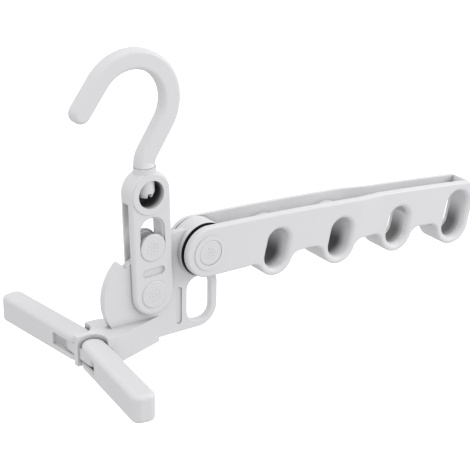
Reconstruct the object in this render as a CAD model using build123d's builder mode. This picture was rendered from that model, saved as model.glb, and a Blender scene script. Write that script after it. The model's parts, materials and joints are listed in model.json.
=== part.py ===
from build123d import *
from math import acos, asin, cos, degrees, radians, sin, tan
import os

# Folding clothes hanger: a swivelling hook, a forked link with a sliding lock button,
# a flat body with a finger ring and a flared head, two folding wall arms,
# and a folding rail with four holes that take the hooks of other hangers.
# Millimetres. The hook is up (+Z), the rail points to +X, the front is -Y.
# The origin is where the hook's inside rests on a rod.

# Hook
rod_radius = 19.5
hook_bar_width = 11.6
hook_bar_thickness = 8.6
hook_bar_edge_radius = 2.6
hook_tail_angle = 141.0
hook_tail_length = 18.8
hook_stem_angle = 35.2
hook_stem_length = 19.0
hook_neck_bend_radius = 12.0
hook_neck_straight = 0.8
hook_neck_radius = 6.1
hook_neck_height = 3.4
hook_neck_inset = 0.5
swivel_stem_radius = 3.8
swivel_barb_radius = 5.3
swivel_barb_cone = 3.0
swivel_barb_tip_radius = 4.0
swivel_barb_drop = 2.6
swivel_split_width = 2.4
swivel_split_depth = 2.6
swivel_play = 0.2

# Link between the hook and the body
link_lean = 2.0
link_half_width = 13.4
link_thickness = 12.0
link_gap = 5.8
link_edge_radius = 2.2
link_window_height = 62.0
link_window_radius = 8.3
link_window_rim_radius = 12.0
link_window_rim_height = 0.7
link_window_back = 1.4
link_window_web = 2.0
link_gap_drop = 4.2
link_collar_radius = 6.6
link_collar_rise = 2.0
link_collar_depth = 5.0
link_recess_height = 14.2
link_recess_length = 15.0
link_recess_width = 5.2
link_recess_depth = 1.5

# Pivot pin of the link
link_pin_radius = 3.5
link_pin_head_radius = 8.4
pin_head_thickness = 1.9
pin_head_proud = 0.5
pin_head_seat_depth = 1.4
pin_spigot_radius = 2.2
pin_spigot_length = 1.2

# Lock button, a spool that slides in the link's slots
lock_rest_height = 29.3
lock_slot_web = 6.6
lock_disc_radius = 8.1
lock_guide_radius = 6.9
lock_core_radius = 3.6
lock_slot_radius = 7.2
lock_track_radius = 8.4
lock_track_depth = 1.3
lock_disc_thickness = 1.7
lock_spigot_radius = 2.6
lock_spigot_length = 2.0

# Body
body_plate = 4.8
ring_edge_radius = 1.0
blade_radius = 31.8
blade_tip_angle = 42.5
blade_tip_rounding = 2.2
pocket_floor_radius = 25.4
stop_wall_gap = 0.3
body_top_height = 33.5
tongue_top = -16.4
tongue_bottom = -33.2
body_bottom = -31.0
boss_across = 34.3
boss_height = 20.3
boss_radius = 16.5
boss_flange_half = 6.2
boss_hub_radius = 13.0
boss_core_radius = 11.0
boss_core_depth = 4.5
ring_left = 5.0
ring_right = 46.2
ring_top = 8.0
ring_corner_radius = 13.0
ring_hole_across = 33.2
ring_hole_height = -12.1
ring_hole_width = 16.8
ring_hole_length = 28.2
ring_hole_corner = 7.4
groove_across = 19.0
groove_height = -13.6
groove_width = 4.0
groove_length = 24.0
groove_depth = 1.0

# Head that carries the wall arms
wing_start = 5.0
wing_back = -29.0
wing_half_width = 13.6
wing_tip_run = 3.4
fin_half_width = 1.85
fin_front = -49.8
fin_bottom = -35.0
ear_top = -23.0
ear_bottom = -30.0
ear_half_span = 15.6
ear_front = -48.5
ear_back = -33.0
ear_corner_radius = 3.0

# Wall arms
arm_hinge_across = -43.0
arm_hinge_side = 9.2
arm_sweep = 7.0
arm_length = 70.5
arm_half_thickness = 7.0
arm_top = -18.2
arm_bottom = -34.9
arm_wall = 2.0
arm_edge_radius = 2.6
arm_end_radius = 5.0
arm_slot_length = 15.7
arm_slot_gap = 0.4
arm_boss_radius = 4.6
arm_pin_radius = 2.0
arm_pin_cover = 1.4
arm_rib_thickness = 1.4
arm_rib_count = 3
arm_rib_depth = 4.0

# Rail of two side plates with a sleeve between them at each hole
rail_droop = 4.4
rail_wide_half = 12.1
rail_narrow_half = 9.6
rail_plate = 4.0
rail_end_radius = 15.6
rail_crown = 17.9
rail_crown_share = 0.45
rail_tip_top = 16.4
rail_neck_across = 27.0
rail_neck_bottom = -13.8
rail_waist_across = 72.0
rail_waist_bottom = -8.5
rail_jog_start = 112.0
rail_jog_end = 130.0
rail_jog_radius = 30.0
rail_edge_radius = 1.5
rail_corner_radius = 7.0
rail_hole_first = 49.5
rail_hole_pitch = 48.2
rail_hole_count = 4
rail_hole_width = 15.6
rail_hole_height = 24.6
rail_hole_centre = -5.4
rail_hole_lean = 7.0
rail_tip_hole_width = 17.0
rail_tip_hole_height = 31.0
rail_tip_hole_centre = -4.3
rail_sleeve_wall = 2.2
rail_lobe_wall = 4.8
rail_lobe_fillet = 7.0
rail_rim_radius = 1.2
rail_cap_ring_radius = 10.8
rail_cap_ring_height = 0.5

# Pivot pin of the rail
rail_pin_radius = 4.5
rail_pin_head_radius = 7.5

# Fits
running_clearance = 0.07
fixed_clearance = 0.02
moving_gap = 0.3
overrun = 1.0


# Frames: each has its X across, its Y up the piece and its normal towards the front
def piece_frame(across, up, turn):
    return Plane(
        origin=(across, 0, up),
        x_dir=(cos(radians(turn)), 0, sin(radians(turn))),
        z_dir=(0, -1, 0),
    )


def level(frame, up, across=0):
    # A level plane of the frame, looking down the piece
    return Plane(
        origin=frame.from_local_coords((across, up, 0)),
        x_dir=frame.x_dir,
        z_dir=frame.y_dir,
    )


def polar(radius, turn):
    # A place at this angle to the left of straight up
    return (-radius * sin(radians(turn)), radius * cos(radians(turn)))


link_face = link_thickness / 2
link_top = link_window_height + link_half_width
collar_top = link_top + link_collar_rise
neck_bottom = collar_top + swivel_play
barb_ceiling = link_window_height + link_window_radius + moving_gap
barb_shoulder = barb_ceiling - swivel_play

# Path of the hook: where its straight lines meet, and the middle of its bow
stem_turn = radians(hook_stem_angle)
hook_mid_radius = rod_radius + hook_bar_width / 2
knee_run = hook_neck_bend_radius * tan(stem_turn / 2)
knee_up = neck_bottom + hook_neck_straight + knee_run
stem_reach = knee_run + hook_stem_length
hook_centre_across = stem_reach * sin(stem_turn) - hook_mid_radius * cos(stem_turn)
hook_centre_up = knee_up + stem_reach * cos(stem_turn) + hook_mid_radius * sin(stem_turn)

lean = radians(link_lean)
seat_across = hook_centre_across * cos(lean) - hook_centre_up * sin(lean)
seat_up = hook_centre_across * sin(lean) + hook_centre_up * cos(lean) + rod_radius
link_frame = piece_frame(-seat_across, -seat_up, link_lean)
body_frame = piece_frame(-seat_across, -seat_up, 0)
boss_place = body_frame.from_local_coords((boss_across, boss_height, 0))
rail_frame = piece_frame(boss_place.X, boss_place.Z, -rail_droop)

boss_face = rail_wide_half - rail_plate - moving_gap


# Hook: a bar bent like a question mark, with a split stem that snaps into the link
knee_start = (knee_run * sin(stem_turn), knee_up + knee_run * cos(stem_turn))
barb_tip = link_window_height - swivel_barb_drop
with BuildPart() as hook:
    with BuildLine(link_frame) as hook_path:
        bow = CenterArc(
            (hook_centre_across, hook_centre_up),
            hook_mid_radius,
            hook_tail_angle,
            -hook_tail_angle - hook_stem_angle,
        )
        stem_line = Line(bow @ 1, knee_start)
        knee = RadiusArc(stem_line @ 1, (0, knee_up - knee_run), -hook_neck_bend_radius)
        Line(knee @ 1, (0, neck_bottom))
    with BuildSketch(Plane(origin=bow @ 0, z_dir=bow % 0, x_dir=(0, 1, 0))):
        RectangleRounded(hook_bar_thickness, hook_bar_width, hook_bar_edge_radius)
    sweep(path=hook_path.line)
    # The tail runs straight on and ends in a rounded nose
    tail_end = (bow @ 0) - (bow % 0) * hook_tail_length
    with BuildSketch(Plane(origin=bow @ 0, z_dir=-(bow % 0), x_dir=(0, 1, 0))):
        RectangleRounded(hook_bar_thickness, hook_bar_width, hook_bar_edge_radius)
    extrude(amount=hook_tail_length)
    with BuildSketch(Plane(origin=tail_end, z_dir=-(bow % 0), x_dir=(0, 1, 0))):
        RectangleRounded(hook_bar_thickness, hook_bar_width, hook_bar_edge_radius)
        Rectangle(
            hook_bar_thickness,
            hook_bar_width,
            align=(Align.CENTER, Align.MAX),
            mode=Mode.SUBTRACT,
        )
    revolve(axis=Axis(tail_end, (0, 1, 0)), revolution_arc=180)
    # Round neck that the bar grows out of
    with BuildSketch(level(link_frame, neck_bottom)):
        Circle(hook_neck_radius)
    with BuildSketch(level(link_frame, neck_bottom + hook_neck_height)):
        RectangleRounded(
            hook_bar_width - 2 * hook_neck_inset,
            hook_bar_thickness - 2 * hook_neck_inset,
            hook_bar_edge_radius,
        )
    loft()
    # Stem, barb and the split in the barb's tip
    with BuildSketch(link_frame) as stem_profile:
        with BuildLine():
            Polyline(
                (0, neck_bottom + overrun),
                (swivel_stem_radius, neck_bottom + overrun),
                (swivel_stem_radius, barb_shoulder),
                (swivel_barb_radius, barb_shoulder),
                (swivel_barb_radius, barb_tip + swivel_barb_cone),
                (swivel_barb_tip_radius, barb_tip),
                (0, barb_tip),
                close=True,
            )
        make_face()
    revolve(axis=Axis(link_frame.origin, link_frame.y_dir))
    with BuildSketch(level(link_frame, barb_tip - overrun)):
        Rectangle(swivel_split_width, 3 * swivel_barb_radius)
    extrude(amount=swivel_split_depth + overrun, mode=Mode.SUBTRACT)
hook.part.label = "hook"


# Link: a fork of two plates that grow into a round head with a window
lock_slot_top = link_window_height - link_window_radius - lock_slot_web
lock_travel = lock_slot_top - lock_slot_radius - lock_rest_height
link_gap_height = link_window_height - link_gap_drop
with BuildPart() as link_fork:
    with BuildSketch(link_frame):
        with Locations((0, link_window_height / 2)):
            SlotCenterToCenter(link_window_height, 2 * link_half_width, rotation=90)
    extrude(amount=link_face, both=True)
    fillet(link_fork.faces().filter_by(Axis.Y).edges(), link_edge_radius)
    with BuildSketch(level(link_frame, collar_top)):
        Circle(link_collar_radius)
    extrude(amount=-link_collar_depth)
    # Raised rim round the window on both sides
    with BuildSketch(link_frame):
        with Locations((0, link_window_height)):
            Circle(link_window_rim_radius)
    extrude(amount=link_face + link_window_rim_height, both=True)
    rim_edges = link_fork.edges().filter_by(GeomType.CIRCLE).group_by(Axis.Y)
    fillet(rim_edges[0] + rim_edges[-1], link_window_rim_height / 2)
    # Window with a thin back, and the pocket that the barb turns in
    with BuildSketch(link_frame.offset(link_window_back - link_face)):
        with Locations((0, link_window_height)):
            Circle(link_window_radius)
    extrude(amount=link_thickness + overrun, mode=Mode.SUBTRACT)
    with BuildSketch(level(link_frame, barb_tip)):
        Circle(swivel_barb_radius + moving_gap)
    extrude(amount=barb_ceiling - barb_tip, mode=Mode.SUBTRACT)
    with BuildSketch(level(link_frame, link_window_height)):
        Circle(swivel_stem_radius + running_clearance)
    extrude(amount=link_window_height, mode=Mode.SUBTRACT)
    # Gap that the body's blade swings in
    with BuildSketch(link_frame):
        with Locations((0, link_gap_height)):
            Rectangle(3 * link_half_width, 2 * link_gap_height, align=(Align.CENTER, Align.MAX))
        with Locations((0, link_window_height)):
            Circle(link_window_radius + link_window_web, mode=Mode.SUBTRACT)
    extrude(amount=link_gap / 2, both=True, mode=Mode.SUBTRACT)
    # Slots of the lock button, with a shallow track for its discs
    with BuildSketch(link_frame):
        with Locations((0, lock_rest_height + lock_travel / 2)):
            SlotCenterToCenter(lock_travel, 2 * lock_slot_radius, rotation=90)
    extrude(amount=link_thickness, both=True, mode=Mode.SUBTRACT)
    for near_depth in (link_face, -link_face + lock_track_depth):
        with BuildSketch(link_frame.offset(near_depth)):
            with Locations((0, lock_rest_height + lock_travel / 2)):
                SlotCenterToCenter(lock_travel, 2 * lock_track_radius, rotation=90)
        extrude(amount=-lock_track_depth, mode=Mode.SUBTRACT)
    # Seats and hole of the pivot pin
    for near_depth in (link_face, -link_face + pin_head_seat_depth):
        with BuildSketch(link_frame.offset(near_depth)):
            Circle(link_pin_head_radius + moving_gap)
        extrude(amount=-pin_head_seat_depth, mode=Mode.SUBTRACT)
    with BuildSketch(link_frame):
        Circle(link_pin_radius + fixed_clearance)
    extrude(amount=link_thickness, both=True, mode=Mode.SUBTRACT)
    # Shallow finger recess on the front
    with BuildSketch(link_frame.offset(link_face)):
        with Locations((0, link_recess_height)):
            SlotOverall(link_recess_length, link_recess_width)
    extrude(amount=-link_recess_depth, mode=Mode.SUBTRACT)
link_fork.part.label = "link_fork"


# Pins: each is a head on a shaft, and a cap that grips the shaft's spigot
def headed_pin(frame, face, head_radius, shaft_radius, label):
    shaft_end = -face + pin_head_seat_depth
    with BuildPart() as pin:
        with BuildSketch(frame.offset(face - pin_head_seat_depth)):
            Circle(head_radius)
        extrude(amount=pin_head_thickness)
        fillet(pin.faces().sort_by(Axis.Y)[0].edges(), pin_head_proud)
        with BuildSketch(frame.offset(shaft_end)):
            Circle(shaft_radius)
        extrude(amount=face - pin_head_seat_depth - shaft_end)
        with BuildSketch(frame.offset(shaft_end - pin_spigot_length)):
            Circle(pin_spigot_radius)
        extrude(amount=pin_spigot_length)
    pin.part.label = label
    return pin


def pin_cap(frame, face, head_radius, label):
    with BuildPart() as cap:
        with BuildSketch(frame.offset(-face + pin_head_seat_depth)):
            Circle(head_radius)
        extrude(amount=-pin_head_thickness)
        fillet(cap.faces().sort_by(Axis.Y)[-1].edges(), pin_head_proud)
        with BuildSketch(frame.offset(-face + pin_head_seat_depth)):
            Circle(pin_spigot_radius + fixed_clearance)
        extrude(amount=-pin_spigot_length, mode=Mode.SUBTRACT)
    cap.part.label = label
    return cap


link_pin = headed_pin(link_frame, link_face, link_pin_head_radius, link_pin_radius, "link_pin")
link_pin_cap = pin_cap(link_frame, link_face, link_pin_head_radius, "link_pin_cap")


# Lock button: two halves that clamp round the body's blade and slide in the slots
lock_frame = Plane(
    origin=link_frame.from_local_coords((0, lock_rest_height, 0)),
    x_dir=link_frame.x_dir,
    z_dir=link_frame.z_dir,
)
lock_disc_floor = link_face - lock_track_depth + running_clearance
with BuildPart() as lock_button:
    with BuildSketch(lock_frame.offset(lock_disc_floor)):
        Circle(lock_disc_radius)
    extrude(amount=lock_disc_thickness)
    fillet(lock_button.faces().sort_by(Axis.Y)[0].edges(), pin_head_proud)
    with BuildSketch(lock_frame.offset(link_gap / 2)):
        Circle(lock_guide_radius)
    extrude(amount=lock_disc_floor - link_gap / 2)
    with BuildSketch(lock_frame.offset(-link_gap / 2)):
        Circle(lock_core_radius)
    extrude(amount=link_gap)
    with BuildSketch(lock_frame.offset(-link_gap / 2 - lock_spigot_length)):
        Circle(lock_spigot_radius)
    extrude(amount=lock_spigot_length)
lock_button.part.label = "lock_button"

with BuildPart() as lock_button_back:
    with BuildSketch(lock_frame.offset(-lock_disc_floor)):
        Circle(lock_disc_radius)
    extrude(amount=-lock_disc_thickness)
    fillet(lock_button_back.faces().sort_by(Axis.Y)[-1].edges(), pin_head_proud)
    with BuildSketch(lock_frame.offset(-link_gap / 2)):
        Circle(lock_guide_radius)
    extrude(amount=link_gap / 2 - lock_disc_floor)
    with BuildSketch(lock_frame.offset(-link_gap / 2)):
        Circle(lock_spigot_radius + fixed_clearance)
    extrude(amount=-lock_spigot_length, mode=Mode.SUBTRACT)
lock_button_back.part.label = "lock_button_back"


# Body: blade with the lock pocket, boss, finger ring and the flared head
lock_core_right = lock_rest_height * sin(-lean) + lock_core_radius
stop_wall = lock_core_right + stop_wall_gap
blade_end_turn = 180 - degrees(acos(-tongue_top / blade_radius))
blade_foot = polar(blade_radius, blade_end_turn)
wall_turn = degrees(asin(stop_wall / pocket_floor_radius))
tip_inner = polar(blade_radius - blade_tip_rounding, blade_tip_angle)
tip_turn = degrees(blade_tip_rounding / blade_radius)
arm_turn = radians(arm_sweep)
seat_radius = arm_half_thickness + moving_gap


def arm_back_place(run):
    # A place on the wing's front, moving_gap behind the arm's back, at this run along the arm
    across = arm_hinge_across + seat_radius * cos(arm_turn) - run * sin(arm_turn)
    side = arm_hinge_side + seat_radius * sin(arm_turn) + run * cos(arm_turn)
    return (across, side)


def body_level(up):
    # A level plane at this height above the link's pivot
    return Plane(origin=body_frame.from_local_coords((0, up, 0)))


wing_outline = [
    (wing_start, body_plate / 2),
    (wing_back, wing_half_width),
    arm_back_place(wing_tip_run),
    arm_back_place(0),
]
with BuildPart() as body:
    with BuildSketch(body_frame):
        with BuildLine():
            top_line = Line((boss_across, body_top_height), (stop_wall, body_top_height))
            stop_line = Line(top_line @ 1, polar(pocket_floor_radius, -wall_turn))
            floor_arc = ThreePointArc(
                stop_line @ 1,
                polar(pocket_floor_radius, (blade_tip_angle - wall_turn) / 2),
                polar(pocket_floor_radius, blade_tip_angle),
            )
            notch_line = Line(floor_arc @ 1, tip_inner)
            tip_arc = ThreePointArc(
                notch_line @ 1,
                polar(blade_radius - blade_tip_rounding / 4, blade_tip_angle + tip_turn / 4),
                polar(blade_radius, blade_tip_angle + tip_turn),
            )
            blade_arc = ThreePointArc(
                tip_arc @ 1,
                polar(blade_radius, (blade_tip_angle + blade_end_turn) / 2),
                blade_foot,
            )
            Polyline(
                blade_arc @ 1,
                (blade_foot[0], (tongue_top + tongue_bottom) / 2),
                (wing_start, (tongue_top + tongue_bottom) / 2),
                (wing_start, body_bottom),
                (boss_across, body_bottom),
                top_line @ 0,
            )
        make_face()
        # Finger ring
        with Locations(((ring_left + ring_right) / 2, (body_bottom + ring_top) / 2)):
            RectangleRounded(ring_right - ring_left, ring_top - body_bottom, ring_corner_radius)
        with Locations((ring_hole_across, ring_hole_height)):
            RectangleRounded(ring_hole_width, ring_hole_length, ring_hole_corner, mode=Mode.SUBTRACT)
    extrude(amount=body_plate / 2, both=True)
    ring_edges = (
        body.faces()
        .filter_by(Axis.Y)
        .edges()
        .filter_by(lambda e: body_frame.to_local_coords(e.center()).X > ring_left + ring_corner_radius)
        .filter_by(lambda e: body_frame.to_local_coords(e.center()).Y < ring_top - ring_corner_radius)
    )
    fillet(ring_edges, ring_edge_radius)
    # Boss of the rail's pivot, with a hub on each side, cored from both ends
    with BuildSketch(rail_frame):
        Circle(boss_radius)
    extrude(amount=boss_flange_half, both=True)
    with BuildSketch(rail_frame):
        Circle(boss_hub_radius)
    extrude(amount=boss_face, both=True)
    for near_depth in (boss_face, -boss_face + boss_core_depth):
        with BuildSketch(rail_frame.offset(near_depth)):
            Circle(boss_core_radius)
            Circle(rail_pin_head_radius, mode=Mode.SUBTRACT)
        extrude(amount=-boss_core_depth, mode=Mode.SUBTRACT)
    with BuildSketch(rail_frame):
        Circle(rail_pin_radius + running_clearance)
    extrude(amount=boss_face, both=True, mode=Mode.SUBTRACT)
    # Hole of the link's pin
    with BuildSketch(link_frame):
        Circle(link_pin_radius + running_clearance)
    extrude(amount=body_plate, both=True, mode=Mode.SUBTRACT)
    # Flared head: wings behind the arms, and a fin between them
    with BuildSketch(body_level(tongue_bottom)):
        with BuildLine():
            Polyline(
                *[(across, side) for across, side in wing_outline],
                *[(across, -side) for across, side in reversed(wing_outline)],
                close=True,
            )
        make_face()
        with Locations((arm_hinge_across, 0)):
            Rectangle(seat_radius, 2 * arm_hinge_side, align=(Align.MIN, Align.CENTER))
        with Locations((arm_hinge_across, arm_hinge_side), (arm_hinge_across, -arm_hinge_side)):
            Circle(seat_radius, mode=Mode.SUBTRACT)
    extrude(amount=tongue_top - tongue_bottom)
    with BuildSketch(body_level(fin_bottom)):
        with Locations((fin_front, 0)):
            Rectangle(ear_back - fin_front, 2 * fin_half_width, align=(Align.MIN, Align.CENTER))
    extrude(amount=tongue_top - fin_bottom)
    # Ears that the arms are hinged on
    with BuildSketch(body_level(ear_bottom)):
        with Locations(((ear_front + ear_back) / 2, 0)):
            RectangleRounded(ear_back - ear_front, 2 * ear_half_span, ear_corner_radius)
    extrude(amount=ear_top - ear_bottom)
    with BuildSketch(body_level(ear_bottom)):
        with Locations((arm_hinge_across, arm_hinge_side), (arm_hinge_across, -arm_hinge_side)):
            Circle(arm_pin_radius + running_clearance)
    extrude(amount=ear_top - ear_bottom, mode=Mode.SUBTRACT)
    # Shallow groove beside the ring
    for near_depth in (body_plate / 2, -body_plate / 2 + groove_depth):
        with BuildSketch(body_frame.offset(near_depth)):
            with Locations((groove_across, groove_height)):
                SlotOverall(groove_length, groove_width, rotation=90)
        extrude(amount=-groove_depth, mode=Mode.SUBTRACT)
body.part.label = "body"


# Wall arms: thin channels, open at the back, with a rounded end at the hinge
arm_frame = Plane(
    origin=body_frame.from_local_coords((arm_hinge_across, arm_bottom, arm_hinge_side)),
    x_dir=(-sin(arm_turn), -cos(arm_turn), 0),
    z_dir=(0, 0, 1),
)
arm_height = arm_top - arm_bottom
arm_inner_half = arm_half_thickness - arm_wall
slot_floor = ear_bottom - arm_slot_gap - arm_bottom
slot_ceiling = ear_top + arm_slot_gap - arm_bottom
pin_length = arm_height - arm_pin_cover
rib_pitch = (arm_length - arm_wall - arm_slot_length) / (arm_rib_count + 1)
with BuildPart() as front_wall_arm:
    with BuildSketch(arm_frame) as arm_plan:
        Rectangle(arm_length, 2 * arm_half_thickness, align=(Align.MIN, Align.CENTER))
        fillet(arm_plan.vertices().sort_by(Axis.X)[-2:], arm_end_radius)
        Circle(arm_half_thickness)
    extrude(amount=arm_height)
    fillet(front_wall_arm.faces().filter_by(Axis.Z).edges(), arm_edge_radius)
    # Inside of the channel, open at the back
    with BuildSketch(arm_frame.offset(arm_wall)):
        Circle(arm_inner_half)
        Rectangle(arm_length - arm_wall, 2 * arm_inner_half, align=(Align.MIN, Align.CENTER))
        Rectangle(
            arm_length - arm_wall,
            arm_half_thickness + overrun,
            align=(Align.MIN, Align.MIN),
        )
    extrude(amount=arm_height - 2 * arm_wall, mode=Mode.SUBTRACT)
    # Ribs across the channel
    with BuildSketch(arm_frame.offset(arm_wall)):
        for step in range(arm_rib_count):
            with Locations((arm_slot_length + (step + 1) * rib_pitch, -arm_inner_half)):
                Rectangle(arm_rib_thickness, arm_rib_depth, align=(Align.CENTER, Align.MIN))
    extrude(amount=arm_height - 2 * arm_wall)
    # Hinge bosses above and below the ear
    with BuildSketch(arm_frame.offset(arm_wall)):
        Circle(arm_boss_radius)
    extrude(amount=arm_height - 2 * arm_wall)
    # Slot for the ear, open to the front, the back and the hinge's end
    with BuildSketch(arm_frame.offset(slot_floor)):
        with Locations((arm_slot_length, 0)):
            Rectangle(
                arm_slot_length + arm_half_thickness + overrun,
                2 * arm_half_thickness + overrun,
                align=(Align.MAX, Align.CENTER),
            )
    extrude(amount=slot_ceiling - slot_floor, mode=Mode.SUBTRACT)
    # Blind hole of the hinge's pin
    with BuildSketch(arm_frame):
        Circle(arm_pin_radius + fixed_clearance)
    extrude(amount=pin_length, mode=Mode.SUBTRACT)
front_wall_arm.part.label = "front_wall_arm"

with BuildPart() as front_arm_pin:
    with BuildSketch(arm_frame):
        Circle(arm_pin_radius)
    extrude(amount=pin_length)
front_arm_pin.part.label = "front_arm_pin"

with BuildPart() as rear_wall_arm:
    mirror(front_wall_arm.part, about=Plane.XZ)
rear_wall_arm.part.label = "rear_wall_arm"

with BuildPart() as rear_arm_pin:
    mirror(front_arm_pin.part, about=Plane.XZ)
rear_arm_pin.part.label = "rear_arm_pin"


# Rail: two mirrored shells, with a sleeve between them at each hole
hole_lean = radians(rail_hole_lean)
rail_tip = rail_hole_first + (rail_hole_count - 1) * rail_hole_pitch
tip_block_start = rail_tip + rail_tip_hole_width / 2
tip_lobe_radius = rail_tip_hole_width / 2 + rail_lobe_wall
rail_reach = rail_tip + tip_lobe_radius + rail_corner_radius
plate_floor = rail_narrow_half - rail_plate


def rail_hole(index):
    # Middle, width and height of a hole, the last one being the larger
    across = rail_hole_first + index * rail_hole_pitch
    if index < rail_hole_count - 1:
        return (across, rail_hole_centre, rail_hole_width, rail_hole_height)
    return (across, rail_tip_hole_centre, rail_tip_hole_width, rail_tip_hole_height)


def lobe_place(index):
    # Middle of the hole's round bottom
    across, up, width, height = rail_hole(index)
    run = (height - width) / 2
    return (across - run * sin(hole_lean), up - run * cos(hole_lean))


def hole_place(index):
    # Place and lean of a hole
    across, up, width, height = rail_hole(index)
    return Location((across, up, 0), (0, 0, -rail_hole_lean))


def is_hole_rim(edge):
    # An edge on the outer face that lies round one of the holes
    place = rail_frame.to_local_coords(edge.center())
    if place.Z < plate_floor + rail_plate - running_clearance:
        return False
    for index in range(rail_hole_count):
        across, up, width, height = rail_hole(index)
        beside = abs(place.X - across) < width / 2 + running_clearance
        if beside and abs(place.Y - up) < height / 2 + running_clearance:
            return True
    return False


# Side outline of the rail with a lobe under each hole
with BuildSketch(rail_frame) as rail_outline:
    Circle(rail_end_radius)
    with BuildLine():
        Polyline(
            (0, -rail_end_radius),
            (rail_neck_across, rail_neck_bottom),
            (rail_waist_across, rail_waist_bottom),
            (tip_block_start, rail_waist_bottom),
            (tip_block_start, 2 * rail_crown),
            (0, 2 * rail_crown),
            close=True,
        )
    make_face()
    for index in range(rail_hole_count):
        with Locations(lobe_place(index)):
            Circle(rail_hole(index)[2] / 2 + rail_lobe_wall)
    with Locations(Location((*lobe_place(rail_hole_count - 1), 0), (0, 0, -rail_hole_lean))):
        Rectangle(tip_lobe_radius, 3 * rail_crown, align=(Align.MIN, Align.MIN))
    with BuildLine():
        crown_arc = ThreePointArc(
            (0, rail_end_radius),
            (rail_crown_share * rail_tip, rail_crown),
            (rail_reach, rail_tip_top),
        )
        Polyline(
            crown_arc @ 1,
            (rail_reach, 4 * rail_crown),
            (0, 4 * rail_crown),
            crown_arc @ 0,
        )
    make_face(mode=Mode.SUBTRACT)
    lobe_corners = [
        corner
        for corner in rail_outline.vertices()
        for index in range(rail_hole_count)
        if corner.Y < 0
        and corner.X < rail_tip
        and abs(
            (corner.center() - Vector(*lobe_place(index))).length
            - rail_hole(index)[2] / 2
            - rail_lobe_wall
        )
        < running_clearance
    ]
    fillet(lobe_corners, rail_lobe_fillet)
    fillet(rail_outline.vertices().sort_by(Axis.X)[-1], rail_corner_radius)

with BuildPart() as rail_front_shell:
    # Plate that steps in towards the tip
    with BuildSketch(level(rail_frame, -rail_reach / 2)) as rail_plan:
        with BuildLine():
            outer_line = Polyline(
                (-rail_end_radius, -rail_wide_half),
                (rail_jog_start, -rail_wide_half),
                (rail_jog_end, -rail_narrow_half),
                (rail_reach, -rail_narrow_half),
            )
            Polyline(
                outer_line @ 1,
                (rail_reach, -plate_floor),
                (rail_jog_end, -plate_floor),
                (rail_jog_start, rail_plate - rail_wide_half),
                (-rail_end_radius, rail_plate - rail_wide_half),
                outer_line @ 0,
            )
        make_face()
        jog_corners = rail_plan.vertices().filter_by(
            lambda v: rail_jog_start - overrun < v.X < rail_jog_end + overrun
        )
        fillet(jog_corners, rail_jog_radius)
    extrude(amount=rail_reach)
    extrude(rail_outline.sketch, amount=rail_wide_half + overrun, mode=Mode.INTERSECT)
    face_edges = (
        rail_front_shell.faces()
        .filter_by(lambda f: f.normal_at(f.center()).Y < -cos(hole_lean) ** 2)
        .edges()
        .filter_by(lambda e: abs((e % 0.5).dot(rail_frame.y_dir)) < cos(hole_lean / 2))
    )
    fillet(face_edges, rail_edge_radius)
    # Raised ring round the pin's head
    with BuildSketch(rail_frame.offset(rail_wide_half)):
        Circle(rail_cap_ring_radius)
    extrude(amount=rail_cap_ring_height)
    # Holes, with rounded rims
    with BuildSketch(rail_frame):
        for index in range(rail_hole_count):
            with Locations(hole_place(index)):
                SlotOverall(rail_hole(index)[3], rail_hole(index)[2], rotation=90)
    extrude(amount=rail_wide_half + overrun, mode=Mode.SUBTRACT)
    fillet(rail_front_shell.edges().filter_by(is_hole_rim), rail_rim_radius)
    # Pin's hole and the seat of its head
    with BuildSketch(rail_frame.offset(rail_wide_half - pin_head_seat_depth)):
        Circle(rail_pin_head_radius + moving_gap)
    extrude(amount=pin_head_seat_depth + overrun, mode=Mode.SUBTRACT)
    with BuildSketch(rail_frame):
        Circle(rail_pin_radius + fixed_clearance)
    extrude(amount=rail_wide_half, mode=Mode.SUBTRACT)
rail_front_shell.part.label = "rail_front_shell"

with BuildPart() as rail_back_shell:
    mirror(rail_front_shell.part, about=Plane.XZ)
rail_back_shell.part.label = "rail_back_shell"


def rail_sleeve(index):
    # Sleeve between the shells, thicker under its hole; the last one also closes the tip
    across, up, width, height = rail_hole(index)
    half = rail_wide_half if across < rail_jog_start else rail_narrow_half
    with BuildPart() as sleeve:
        with BuildSketch(rail_frame):
            with Locations(hole_place(index)):
                SlotOverall(
                    height + 2 * rail_sleeve_wall,
                    width + 2 * rail_sleeve_wall,
                    rotation=90,
                )
            with Locations(lobe_place(index)):
                Circle(width / 2 + rail_lobe_wall)
            if index == rail_hole_count - 1:
                with Locations((tip_block_start, 0)):
                    Rectangle(tip_lobe_radius, 4 * rail_crown, align=(Align.MIN, Align.CENTER))
                add(rail_outline.sketch_local, mode=Mode.INTERSECT)
            with Locations(hole_place(index)):
                SlotOverall(height, width, rotation=90, mode=Mode.SUBTRACT)
        extrude(amount=half - rail_plate - fixed_clearance, both=True)
    sleeve.part.label = "rail_sleeve_" + str(index + 1)
    return sleeve


rail_sleeves = [rail_sleeve(index) for index in range(rail_hole_count)]

rail_pin = headed_pin(rail_frame, rail_wide_half, rail_pin_head_radius, rail_pin_radius, "rail_pin")
rail_pin_cap = pin_cap(rail_frame, rail_wide_half, rail_pin_head_radius, "rail_pin_cap")


os.makedirs("parts", exist_ok=True)
for piece in (
    hook,
    link_fork,
    link_pin,
    link_pin_cap,
    lock_button,
    lock_button_back,
    body,
    front_wall_arm,
    rear_wall_arm,
    front_arm_pin,
    rear_arm_pin,
    rail_front_shell,
    rail_back_shell,
    *rail_sleeves,
    rail_pin,
    rail_pin_cap,
):
    export_step(piece.part, "parts/" + piece.part.label + ".step")
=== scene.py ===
import json
from math import cos, pi, radians, sin

import bmesh
import bpy
from bpy.props import FloatProperty, FloatVectorProperty, IntProperty, PointerProperty
from mathutils import Matrix, Vector
from mathutils.bvhtree import BVHTree


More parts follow.
